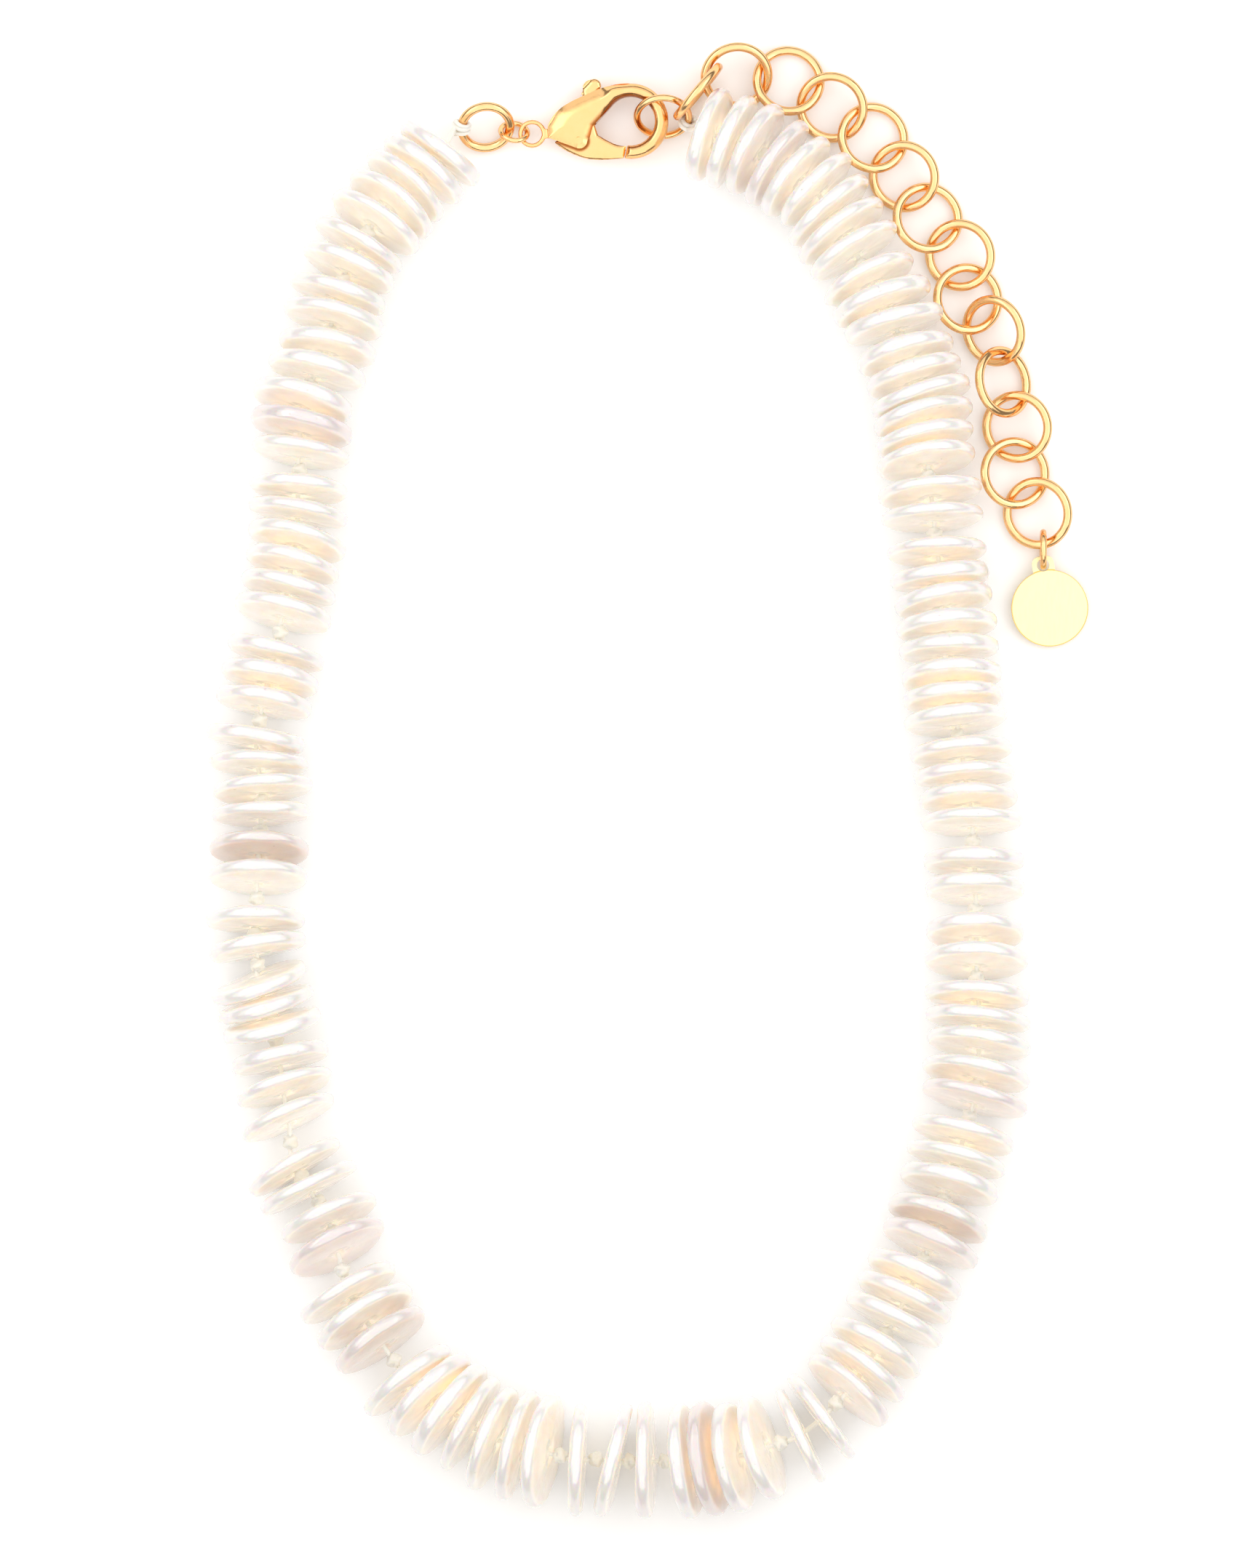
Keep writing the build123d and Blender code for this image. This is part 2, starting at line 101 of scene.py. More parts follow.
soft_light("sheet_overhead", (0, 0.06, 0.4), (0, 0.06, 0), (1.1, 0.8), 3.3, (1.0, 0.995, 0.99))
soft_light("panel_left", (-0.19, 0.04, 0.14), (-0.02, -0.03, 0), SIDE_PANEL, SIDE_POWER, TENT_WHITE)
soft_light("panel_right", (0.19, 0.04, 0.14), (0.02, -0.03, 0), SIDE_PANEL, SIDE_POWER, TENT_WHITE)
soft_light("panel_below", (0, -0.34, 0.30), (0, 0, 0), (0.5, 0.14), 0.30, TENT_WHITE)
soft_light("panel_above", (0, 0.50, 0.26), (0, 0.08, 0), (0.7, 0.22), 0.40, TENT_WHITE)
world = bpy.data.worlds.new("tent_walls")
bpy.context.scene.world = world
world.use_nodes = True
world.node_tree.nodes["Background"].inputs["Color"].default_value = (1.0, 0.985, 0.965, 1)
world.node_tree.nodes["Background"].inputs["Strength"].default_value = 0.25


# The floor is seamless white card, matt, and runs out past everything seen. It lies just under
# the lowest discs. Its finish is the first of those that are made node by node below.
FLOOR_WIDTH = 6.0
FLOOR_DROP = 0.0001


class Value:
    """A node's output in an expression: +, - and * add Math nodes, from either side."""

    def __init__(self, finish, socket):
        self.finish = finish
        self.socket = socket

    def worked(self, operation, first, second):
        return self.finish.node("ShaderNodeMath", {"operation": operation}, {0: first, 1: second})

    def __add__(self, other):
        return self.worked("ADD", self, other)

    def __radd__(self, other):
        return self.worked("ADD", other, self)

    def __sub__(self, other):
        return self.worked("SUBTRACT", self, other)

    def __rsub__(self, other):
        return self.worked("SUBTRACT", other, self)

    def __mul__(self, other):
        return self.worked("MULTIPLY", self, other)

    def __rmul__(self, other):
        return self.worked("MULTIPLY", other, self)


class Finish:
    """A material made node by node round one Principled shader."""

    def __init__(self, name, **constants):
        self.material = bpy.data.materials.new(name)
        self.material.use_nodes = True
        self.tree = self.material.node_tree
        self.shader = self.tree.nodes["Principled BSDF"]
        for socket, value in constants.items():
            self.shader.inputs[socket.replace("_", " ")].default_value = value

    def node(self, kind, settings=(), sockets=(), output=0):
        """One node: its settings first, then its sockets' values or links."""
        made = self.tree.nodes.new(kind)
        for name, value in dict(settings).items():
            setattr(made, name, value)
        for name, value in dict(sockets).items():
            self.give(made.inputs[name], value)
        return Value(self, made.outputs[output])

    def give(self, socket, value):
        """A socket takes a link from a Value, and anything else as its own constant."""
        if isinstance(value, Value):
            self.tree.links.new(value.socket, socket)
        else:
            socket.default_value = value

    def set(self, **sockets):
        for name, value in sockets.items():
            self.give(self.shader.inputs[name.replace("_", " ")], value)

    def attribute(self, name, output="Fac"):
        return self.node("ShaderNodeAttribute", {"attribute_name": name}, output=output)

    def ramp(self, value, low, high):
        """0 below low, 1 above high, and smooth between."""
        return self.node("ShaderNodeMapRange", {"interpolation_type": "SMOOTHSTEP"},
                         {"Value": value, "From Min": low, "From Max": high})

    def blend(self, share, first, second):
        """first where share is 0, second where it is 1, as colours."""
        return self.node("ShaderNodeMix", {"data_type": "RGBA"}, {0: share, 6: first, 7: second}, 2)

    def scaled(self, vector, factors):
        return self.node("ShaderNodeVectorMath", {"operation": "MULTIPLY"}, {0: vector, 1: factors})

    def noise(self, vector, scale, detail=2.0, roughness=0.5):
        return self.node("ShaderNodeTexNoise", {},
                         {"Vector": vector, "Scale": scale, "Detail": detail, "Roughness": roughness})

    def bump(self, height, strength, distance):
        return self.node("ShaderNodeBump", {},
                         {"Height": height, "Strength": strength, "Distance": distance})


card = Finish("white_card", Roughness=0.7, Specular_IOR_Level=0.2, Emission_Color=(1, 0.98, 0.96, 1),
              Emission_Strength=0.10)
card_grain = card.noise(card.node("ShaderNodeTexCoord", output="Object"), 900.0)
card.set(Base_Color=card.blend(card_grain, (0.955, 0.945, 0.935, 1), (0.97, 0.962, 0.955, 1)))
bpy.ops.mesh.primitive_plane_add(size=FLOOR_WIDTH)
floor = bpy.context.object
floor.name = "floor"
floor.location.z = cad_box[0][2] - FLOOR_DROP
floor.data.materials.append(card.material)


# Each disc is sawn from thick shell, drilled through and tumbled, so no two are quite round
# or quite level, and its edges are soft. It lies where the frame's solid lies, leans with it,
# and swells to meet its neighbours as far as the plane halfway between them.
DISC_EDGE = 0.00040
DISC_CROWN = 0.00036
BORE_RADIUS = 0.00085
HALF_THICK = (0.00082, 0.00108)
THINNER_OUTWARDS = 0.10
OUTLINE_INSET = 0.022
WARP = 0.00008
NEAREST = 0.00004
MEETING_ROUND = 0.00007
ROUND_DISC = 56
EDGE_ROWS = 5
OUTLINE_WAVES = ((2, 3, 5, 8), (0.009, 0.007, 0.004, 0.002))
EDGE_WAVES = ((1, 3, 7, 12), (0.25, 0.2, 0.2, 0.12))
THICKNESS_WAVES = ((1, 2, 3, 9), (0.07, 0.05, 0.03, 0.012))
GOLDEN = (np.sqrt(5) - 1) / 2
UP = np.array([0, 0, 1.0])


def solids_of(node):
    """A CAD node's solids as arrays of corners: corners at one place are joined, and a solid is
    every corner that its triangles reach, found by passing the lowest number along them."""
    mesh = frame["nodes"][node].data
    at = np.empty(len(mesh.vertices) * 3)
    mesh.vertices.foreach_get("co", at)
    at = at.reshape(-1, 3)
    mesh.calc_loop_triangles()
    triangles = np.empty(len(mesh.loop_triangles) * 3, dtype=np.int32)
    mesh.loop_triangles.foreach_get("vertices", triangles)
    same = np.unique(np.round(at * 1e6).astype(np.int64), axis=0, return_inverse=True)[1].ravel()
    triangles = same[triangles.reshape(-1, 3)]
    label = np.arange(same.max() + 1)
    while True:
        lower = label.copy()
        np.minimum.at(lower, triangles.ravel(), np.repeat(label[triangles].min(axis=1), 3))
        lower = lower[lower]
        if (lower == label).all():
            break
        label = lower
    label = label[same]
    return [at[label == one] for one in np.unique(label)]


def unit(vectors):
    """The same directions with length 1."""
    return vectors / np.linalg.norm(vectors, axis=-1, keepdims=True)


def disc_facts(corners):
    """Centre, axis, radius and half thickness of a flat round solid: its axis is the direction
    in which its corners spread least."""
    middle = corners.mean(axis=0)
    axis = np.linalg.svd(corners - middle, full_matrices=False)[2][2]
    along = (corners - middle) @ axis
    middle = middle + axis * (along.max() + along.min()) / 2
    out = (corners - middle) - np.outer((corners - middle) @ axis, axis)
    return (*middle, *axis, np.linalg.norm(out, axis=1).max(), (along.max() - along.min()) / 2)


# The discs are numbered from the clasp down the left side and up the right side.
facts = np.array([disc_facts(solid) for node in ("disc_string_left", "disc_string_right")
                  for solid in solids_of(node)])
in_left = np.arange(len(facts)) < len(solids_of("disc_string_left"))
turn = (np.arctan2(facts[:, 1] - MIDDLE[1], facts[:, 0] - MIDDLE[0]) - np.pi / 2) % (2 * np.pi)
order = np.argsort(turn)
facts, in_left = facts[order], in_left[order]
centre, axis, radius, half = facts[:, :3], facts[:, 3:6], facts[:, 6], facts[:, 7]
onward = np.gradient(centre, axis=0)
axis = axis * np.sign((axis * onward).sum(axis=1))[:, None]
top = unit(UP - axis[:, 2:] * axis)
aside = np.cross(axis, top)
count = len(centre)
number = np.arange(count)


def scatter(step, low=0.0, high=1.0):
    """One steady number from low to high for each disc: multiples of the golden share."""
    return low + (high - low) * ((number * GOLDEN * step + 0.37 * step) % 1)


def disc_profile():
    """The section of a disc, once round it from the bore over the upper face, the rim and the
    lower face: share of the way out, steps of the edge radius out and along, and side."""
    faces = np.array([0.0, 0.25, 0.55, 0.82, 1.0])
    turns = np.linspace(0, np.pi / 2, EDGE_ROWS + 1)[1:]
    upper_face = [(f, -f, 0, 1) for f in faces]
    upper_edge = [(1, np.sin(t) - 1, np.cos(t) - 1, 1) for t in turns]
    rim = [(1, 0, -1, g) for g in (0.5, 0, -0.5)]
    half_section = upper_face + upper_edge
    lower = [(f, x, y, -1) for f, x, y, _ in half_section[::-1]]
    return np.array(half_section + rim + lower)


def smallest(first, second, soft):
    """The lesser of two, rounded off where they cross."""
    return -soft * np.logaddexp(-first / soft, -second / soft)


def smooth(value, low, high):
    """0 below low, 1 above high, and a smooth cubic between."""
    share = np.clip((value - low) / (high - low), 0, 1)
    return share * share * (3 - 2 * share)


def halfway(one, other):
    """The plane halfway between two discs: a point on it and its normal."""
    return (centre[one] + centre[other]) / 2, unit(axis[one] + axis[other])


after = np.minimum(number + 1, count - 1)
before = np.maximum(number - 1, 0)
plane_after, normal_after = halfway(number, after)
plane_before, normal_before = halfway(number, before)
plane_after[-1] = centre[-1] + axis[-1] * (half[-1] + NEAREST)
plane_before[0] = centre[0] - axis[0] * (half[0] + NEAREST)

section = disc_profile()
share, edge_out, edge_along, side = section.T
ring = (np.arange(ROUND_DISC) * 2 * np.pi / ROUND_DISC)[None, :, None]


def waves(steps, sizes):
    """Slow waves round each disc, each with its own start: a sum of sines of its angle."""
    return sum(size * np.sin(step * ring + 2 * np.pi * scatter(7 * step + 1)[:, None, None])
               for step, size in zip(steps, sizes))


around = radius[:, None, None] * (1 - OUTLINE_INSET + waves(*OUTLINE_WAVES))
edge = DISC_EDGE * (1 + waves(*EDGE_WAVES))
out = BORE_RADIUS + share * (around - BORE_RADIUS) + edge_out * edge
mid_level = WARP * np.sin(2 * ring + 6 * scatter(3)[:, None, None]) * share
outward = (np.cos(ring)[..., None] * top[:, None, None, :]
           + np.sin(ring)[..., None] * aside[:, None, None, :])
level_point = centre[:, None, None, :] + outward * out[..., None]


def room(plane, normal, way):
    """How far a point of the middle level may go along the axis before the halfway plane."""
    reach = ((plane[:, None, None, :] - level_point) * normal[:, None, None, :]).sum(axis=-1)
    return way * reach / (axis * normal).sum(axis=1)[:, None, None]


# Each disc has a thickness of its own, a little less outwards, and never more than its neighbours
# leave room for. Its rim is crowned, fullest midway between the two rounded edges.
wanted = scatter(5, *HALF_THICK)[:, None, None] * (1 + waves(*THICKNESS_WAVES))
wanted = wanted * (1 - THINNER_OUTWARDS * share ** 4)
free_after = np.abs(room(plane_after, normal_after, 1))
free_before = np.abs(room(plane_before, normal_before, -1))
upper = smallest(wanted, free_after - NEAREST, MEETING_ROUND)
lower = smallest(wanted, free_before - NEAREST, MEETING_ROUND)
height = np.where(side > 0, upper, -lower)
edge = np.minimum(edge, 0.8 * np.minimum(upper, lower))
height = height + side * edge_along * edge * (np.abs(side) == 1)
rim_middle = (upper - lower) / 2
rim_half = (upper + lower) / 2 - edge
height = np.where(np.abs(side) < 1, rim_middle + side * rim_half, height) + mid_level
crown = DISC_CROWN * (1 - (height / wanted) ** 2) * share ** 12
disc_points = centre[:, None, None, :] + outward * (out + crown)[..., None]
disc_points = disc_points + axis[:, None, None, :] * height[..., None]

# Light through the shell where two faces nearly touch is painted: deep in a gap the colour and
# emission are a painted peach glow, and each disc lets through its own share of it. The last discs
# before the clasp's ring are thicker ivory.
# The grain is in mm on the disc, moved along by numbers of its own, so no two discs show the same.
IVORY_FROM, IVORY_SHARE = 96, 0.6
GLOW_DEPTH, GLOW_GAP = (0.0002, 0.0030), 0.0010
DEEP_DEPTH, DEEP_GAP = (0.0010, 0.0045), 0.0012
BORE_GLOW_SPAN = (-0.0020, -0.0011)
GRAIN_MOVE = 300
depth = around - out
near_after = 2 * (free_after - upper)
near_before = 2 * (free_before - lower)
gap_width = np.where(side > 0, near_after, near_before)
glow = smooth(depth, *GLOW_DEPTH) * np.exp(-gap_width / GLOW_GAP)
glow = glow * (0.15 + 0.95 * scatter(11) ** 2)[:, None, None]
glow[IVORY_FROM:] = glow[IVORY_FROM:] * IVORY_SHARE
glow[0] = glow[0] * (side > 0)
glow[-1] = glow[-1] * (side < 0)
# Painted light: every face glows a little, more deep in a gap and near the bore, lifting the shade there.
deep = smooth(depth, *DEEP_DEPTH) * (0.35 + 0.65 * np.exp(-gap_width / DEEP_GAP))
deep = np.clip(deep + 0.4 * smooth(-out, *BORE_GLOW_SPAN), 0, 1)
rim_share = smooth(share, 0.985, 1.0) * smooth(-edge_along, 0.15, 0.7)
place = np.stack([height, out * np.cos(ring), out * np.sin(ring)], axis=-1) * 1000
place = place + np.stack([scatter(2), scatter(3), scatter(5)], axis=-1)[:, None, None, :] * GRAIN_MOVE

# Most discs are cream; a few are cut near the shell's lip, where it is lilac, mauve or brown.
LILAC_DISCS = {12: 0.6, 27: 0.3, 40: 0.7, 43: 0.35, 53: 0.2, 55: 0.6, 60: 0.3, 66: 0.45, 71: 0.5,
               108: 0.55, 109: 0.3}
UMBER_DISCS = {27: 0.5, 43: 0.35, 55: 0.35, 67: 0.4}
lilac = 0.04 + 0.10 * scatter(4)
lilac[list(LILAC_DISCS)] = list(LILAC_DISCS.values())
umber = np.zeros(count)
umber[list(UMBER_DISCS)] = list(UMBER_DISCS.values())


def closed_rings(rows, columns, pieces):
    """Quads of many grids that close both ways: rows x columns corners in each piece."""
    row = np.arange(rows)[:, None]
    column = np.arange(columns)[None, :]
    here = row * columns + column
    below = ((row + 1) % rows) * columns + column
    right = row * columns + (column + 1) % columns
    far = ((row + 1) % rows) * columns + (column + 1) % columns
    one = np.stack([here, right, far, below], axis=-1).reshape(-1, 4)
    return (one[None] + (np.arange(pieces) * rows * columns)[:, None, None]).reshape(-1, 4).tolist()


def surface(name, points, faces, finish, body="necklace", attributes=()):
    """A smooth mesh from an array of corners and a list of faces, with its point attributes, that
    rides on a body."""
    mesh = bpy.data.meshes.new(name)
    mesh.from_pydata(points.reshape(-1, 3).tolist(), [], faces)
    for key, values in dict(attributes).items():
        kind = "FLOAT_VECTOR" if values.ndim == points.ndim and values.shape[-1] == 3 else "FLOAT"
        layer = mesh.attributes.new(key, kind, "POINT")
        layer.data.foreach_set("vector" if kind == "FLOAT_VECTOR" else "value", values.ravel())
    mesh.shade_smooth()
    mesh.update()
    made = bpy.data.objects.new(name, mesh)
    bpy.context.collection.objects.link(made)
    mesh.materials.append(finish.material)
    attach(made, body)
    return made


nacre = Finish("nacre", Roughness=0.3, IOR=1.6, Coat_Roughness=0.05, Coat_Weight=1.0, Coat_IOR=2.1,
               Subsurface_Weight=0.9, Subsurface_Scale=0.003, Subsurface_Radius=(1.0, 0.5, 0.22),
               Emission_Strength=0.60)
grain = nacre.attribute("place", "Vector")
cloud = nacre.noise(grain, 0.45, 3.0, 0.55)
layers = nacre.noise(nacre.scaled(grain, (2.6, 0.35, 0.35)), 1.0, 3.0, 0.6)
pits = nacre.ramp(nacre.noise(grain, 2.3, 4.0, 0.7), 0.63, 0.72)
on_rim = nacre.attribute("rim")
body = nacre.blend(nacre.ramp(cloud, 0.35, 0.7), (0.84, 0.79, 0.71, 1), (0.88, 0.86, 0.82, 1))
body = nacre.blend(nacre.ramp(layers, 0.5, 0.75) * 0.25, body, (0.80, 0.80, 0.84, 1))
body = nacre.blend(on_rim * 0.85, body, (0.74, 0.75, 0.765, 1))
body = nacre.blend(nacre.attribute("lilac") * (0.45 + 0.55 * cloud), body, (0.60, 0.52, 0.55, 1))
body = nacre.blend(nacre.attribute("umber") * (1 - on_rim * 0.7), body, (0.42, 0.30, 0.22, 1))
# Painted glow: the base colour turns peach, then orange, deep in narrow gaps, as if lit through the shell.
glowing = nacre.attribute("glow") * (0.35 + 1.0 * cloud)
body = nacre.blend(nacre.ramp(glowing, 0.05, 0.6) * 0.7, body, (0.94, 0.76, 0.54, 1))
body = nacre.blend(nacre.ramp(glowing, 0.6, 1.1) * 0.6, body, (0.90, 0.50, 0.20, 1))
body = nacre.blend(pits * 0.5 * on_rim, body, (0.52, 0.50, 0.53, 1))
# Painted light on the faces: dim emission everywhere, brighter where deep is 1, standing in for light
# through the shell.
painted_face_glow = nacre.blend(nacre.attribute("deep"), (0.14, 0.125, 0.10, 1), (0.72, 0.66, 0.55, 1))
# The emission is painted light too: a peach and orange glow deep in narrow gaps, dimmed on umber discs.
shine_through = nacre.blend(nacre.ramp(glowing, 0.0, 0.5), painted_face_glow, (0.62, 0.45, 0.28, 1))
shine_through = nacre.blend(nacre.ramp(glowing, 0.55, 1.1) * 0.8, shine_through, (0.50, 0.24, 0.07, 1))
shine_through = nacre.blend(nacre.attribute("umber") * 0.8, shine_through, (0.12, 0.08, 0.07, 1))
nacre.set(Base_Color=body, Emission_Color=nacre.blend(on_rim, shine_through, (0.0, 0.0, 0.0, 1)),
          Roughness=0.22 + 0.2 * cloud,
          Normal=nacre.bump(cloud * 0.6 + layers * 0.5 - pits * 0.4, 0.9, 0.0002))

for node, chosen in (("disc_string_left", in_left), ("disc_string_right", ~in_left)):
    shape = disc_points[chosen]
    spread = np.ones(shape.shape[:3])
    discs = surface(node + "_nacre", shape, closed_rings(ROUND_DISC, len(section), len(shape)), nacre,
                    attributes={"glow": glow[chosen] * spread, "rim": rim_share * spread,
                                "deep": deep[chosen] * spread,
                                "lilac": lilac[chosen][:, None, None] * spread,
                                "umber": umber[chosen][:, None, None] * spread,
                                "place": place[chosen]})
    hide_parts(node)


# The discs are strung on waxed silk, with a knot of two or three tight turns in many gaps, so they
# don't rub. A gap gets one where the thread's solid has more than a few corners at about a knot's
# radius from the gap's middle, as it has at each of its balls and where it is finely divided.
KNOT_RADIUS = 0.00100
KNOT_LUMPS = (0.13, 0.06)
KNOT_LENGTH_SHARE = 0.9
KNOT_ROWS, KNOT_COLUMNS = 15, 24
POLE_OPENING = 0.02
NEAR_RADII = (0.0007, 0.00095)
FEW_CORNERS = 12
thread_corners = np.concatenate(solids_of("thread"))
mouths = (centre[:-1] + axis[:-1] * half[:-1, None] + centre[1:] - axis[1:] * half[1:, None]) / 2
through = unit(centre[1:] - centre[:-1])
spans = np.linalg.norm(thread_corners[None] - mouths[:, None], axis=2)
knotted = ((spans > NEAR_RADII[0]) & (spans < NEAR_RADII[1])).sum(axis=1) > FEW_CORNERS
knots = mouths[knotted]
along = through[knotted]
knot_top = unit(UP - along[:, 2:] * along)
knot_side = np.cross(along, knot_top)
lead_in = np.linspace(POLE_OPENING, np.pi - POLE_OPENING, KNOT_ROWS)[None, :, None]
round_knot = (np.arange(KNOT_COLUMNS) * 2 * np.pi / KNOT_COLUMNS)[None, None, :]
start = (np.arange(len(knots)) * GOLDEN % 1 * 2 * np.pi)[:, None, None]
ball = KNOT_RADIUS * (1 + KNOT_LUMPS[0] * np.sin(2 * round_knot + 4.0 * lead_in + start)
                      + KNOT_LUMPS[1] * np.sin(round_knot - 6 * lead_in + 2 * start))
knot_points = (knots[:, None, None, :]
               + (ball * np.cos(lead_in))[..., None] * along[:, None, None, :] * KNOT_LENGTH_SHARE
               + (ball * np.sin(lead_in) * np.cos(round_knot))[..., None] * knot_top[:, None, None, :]
               + (ball * np.sin(lead_in) * np.sin(round_knot))[..., None] * knot_side[:, None, None, :])


def open_tubes(rows, columns, pieces):
    """Quads of grids that close along their columns, with one many-sided face over the first row
    and one over the last."""
    row = np.arange(rows - 1)[:, None]
    column = np.arange(columns)[None, :]
    here = row * columns + column
    right = row * columns + (column + 1) % columns
    one = np.stack([here, here + columns, right + columns, right], axis=-1).reshape(-1, 4)
    walls = (one[None] + (np.arange(pieces) * rows * columns)[:, None, None]).reshape(-1, 4).tolist()
    first = [list(range(p * rows * columns, p * rows * columns + columns)) for p in range(pieces)]
    last = [[c + (rows - 1) * columns for c in cap[::-1]] for cap in first]
    return walls + first + last


silk = Finish("waxed_silk", Roughness=0.7, Specular_IOR_Level=0.4, Subsurface_Weight=0.5,
              Subsurface_Scale=0.0008, Subsurface_Radius=(1.0, 0.8, 0.6))
silk_at = silk.node("ShaderNodeTexCoord", output="Object")
fibre = silk.noise(silk_at, 5200.0, 3.0, 0.6)
silk.set(Base_Color=silk.blend(fibre, (0.90, 0.85, 0.75, 1), (0.97, 0.95, 0.90, 1)),
         Normal=silk.bump(fibre, 0.6, 0.0001))


def finished(node, finish):
    """A CAD node that shows as it is gets this finish."""
    mesh = frame["nodes"][node].data
    mesh.materials.clear()
    mesh.materials.append(finish.material)


knot_balls = surface("thread_knots", knot_points, open_tubes(KNOT_ROWS, KNOT_COLUMNS, len(knots)), silk)
finished("thread", silk)


# Three turns of the silk are drawn round the end ring's wire before it enters the first disc,
# and two round the clasp's ring behind the last one.
TURN_REACH = 0.00031
SILK_RADIUS = 0.00027
ROUND_SILK = 10
STEPS_A_TURN = 26
END_RING_WIRE = 0.00115
CLASP_RING_WIRE = 0.0009


def whipping(name, ring_node, wire, towards, turns):
    """A tube round a ring's wire: it goes round the wire turns times while it creeps along the
    ring by a little more than its own width a turn."""
    x, y, z, *normal, outside, _ = disc_facts(np.concatenate(solids_of(ring_node)))
    middle, normal = np.array([x, y, z]), np.array(normal)
    ring_radius = outside - wire / 2
    first = unit(towards - (towards @ normal) * normal)
    second = np.cross(normal, first)
    t = np.linspace(0, 1, STEPS_A_TURN * turns)[:, None]
    creep = (t - 0.5) * turns * 2.1 * SILK_RADIUS / ring_radius
    out_way = np.cos(creep) * first + np.sin(creep) * second
    around_wire = 2 * np.pi * turns * t
    reach = wire / 2 + TURN_REACH
    line = (middle + out_way * (ring_radius + reach * np.cos(around_wire))
            + normal * reach * np.sin(around_wire))
    tangent = unit(np.gradient(line, axis=0))
    away = unit(line - (middle + out_way * ring_radius))
    away = unit(away - (away * tangent).sum(axis=1, keepdims=True) * tangent)
    other = np.cross(tangent, away)
    circle = (np.arange(ROUND_SILK) * 2 * np.pi / ROUND_SILK)[None, :, None]
    tube = line[:, None] + SILK_RADIUS * (np.cos(circle) * away[:, None] + np.sin(circle) * other[:, None])
    made = surface(name, tube, open_tubes(len(line), ROUND_SILK, 1), silk)


whipping("end_whipping", "end_ring", END_RING_WIRE, np.array([-1.0, 0.05, 0.0]), 3)
whipping("clasp_ring_whipping", "clasp_ring", CLASP_RING_WIRE, np.array([1.0, -0.45, 0.0]), 2)


# The chain and rings are gilt brass wire, bent round and soldered, then tumbled bright. They have
# fine rubbing marks, and steep sides are painted redder, a painted reflection of warm neighbours.
def gilding(name, colour, pale, roughness, shade_attribute=None):
    """A gilt finish: faint clouds of colour and gloss, fine rubbed lines, a painted reflection that makes
    steep sides redder, and a deep brown painted shade where the named attribute is 1."""
    gold = Finish(name, Metallic=1.0, Roughness=roughness)
    at = gold.node("ShaderNodeTexCoord", output="Object")
    mottle = gold.noise(at, 700.0, 3.0, 0.6)
    rubbed = gold.noise(gold.scaled(at, (1.0, 4.0, 1.0)), 2600.0, 4.0, 0.65)
    hue = gold.blend(mottle, colour, pale)
    # Painted reflection: steep sides are tinted redder, as if they mirrored warm gold nearby.
    normal = gold.node("ShaderNodeTexCoord", output="Normal")
    level = gold.node("ShaderNodeSeparateXYZ", sockets={0: normal}, output="Z")
    upright = gold.node("ShaderNodeMath", {"operation": "ABSOLUTE"}, {0: level})
    hue = gold.blend((1 - gold.ramp(upright, 0.15, 0.8)) * 0.75, hue, (0.74, 0.32, 0.07, 1))
    # Painted shade: deep brown where the named attribute is 1.
    if shade_attribute:
        hue = gold.blend(gold.attribute(shade_attribute), hue, (0.33, 0.10, 0.02, 1))
    gold.set(Base_Color=hue, Roughness=roughness + 0.12 * mottle,
             Normal=gold.bump(rubbed * 0.5 + mottle, 0.12, 0.0001))
    return gold


gold_wire = gilding("gilt_wire", (0.96, 0.57, 0.25, 1), (1.0, 0.67, 0.35, 1), 0.07)
for name in frame["nodes"]:
    if name.startswith(("link", "end_ring", "clasp_link", "clasp_ring", "charm_ring")):
        finished(name, gold_wire)


# The clasp is cast in two pieces, a housing whose hook closes on the tip of a sprung lever,
# and polished until every edge is soft. The housing is a smooth dome, thinner towards the nose.
# Its sizes are in mm, in the clasp's own frame: from the lever's pin, along the clasp and across.
VOXEL = 0.085
HOUSING_HALF, NOSE_HALF = 1.8, 1.15
HOUSING_RIM, NOSE_RIM = 1.02, 0.4
HOUSING_DOME, NOSE_DOME = 2.7, 0.85
NOSE_FROM, NOSE_FULL = 2.4, 4.4
THINNING = (3.0, 11.3)
LEVER_RIM, LEVER_RISE, LEVER_DOME = 0.36, 0.39, 0.8
TAIL_FROM = -4.1
FIRST_POLISH, LAST_POLISH = 5, 3
CREASE_CORE = 0.1
HOOK = np.array([6.5, 2.5])
HOOK_OUTER, HOOK_INNER = 4.8, 3.1
PIN_BOSS = 1.0
TAB_MIDDLE, TAB_RADIUS, TAB_HALF = np.array([1.85, 7.05]), 0.85, 0.75
hinge = frame["joints"][0]
pivot = np.array(hinge["pos_m"])
clasp_up = np.array(hinge["axis"])
clasp_along = np.array([clasp_up[2], 0.0, -clasp_up[0]])
clasp_ways = np.stack([clasp_along, np.array([0.0, 1.0, 0.0]), clasp_up])


def flowing(points, steps=12):
    """A curve through points: each stretch is the cubic whose slopes are half the step between
    the neighbours on both sides."""
    points = np.array(points, dtype=float)
    padded = np.vstack([2 * points[0] - points[1], points, 2 * points[-1] - points[-2]])
    t = np.linspace(0, 1, steps, endpoint=False)[None, :, None]
    p0, p1, p2, p3 = (padded[i:len(padded) - 3 + i, None] for i in range(4))
    line = 0.5 * (2 * p1 + (p2 - p0) * t + (2 * p0 - 5 * p1 + 4 * p2 - p3) * t ** 2
                  + (3 * p1 - p0 - 3 * p2 + p3) * t ** 3)
    return np.vstack([line.reshape(-1, 2), points[-1:]])


def arc(middle, size, start, stop, steps=48):
    """Points on a circle from start to stop, in degrees."""
    turned = np.radians(np.linspace(start, stop, steps))[:, None]
    return middle + size * np.hstack([np.cos(turned), np.sin(turned)])


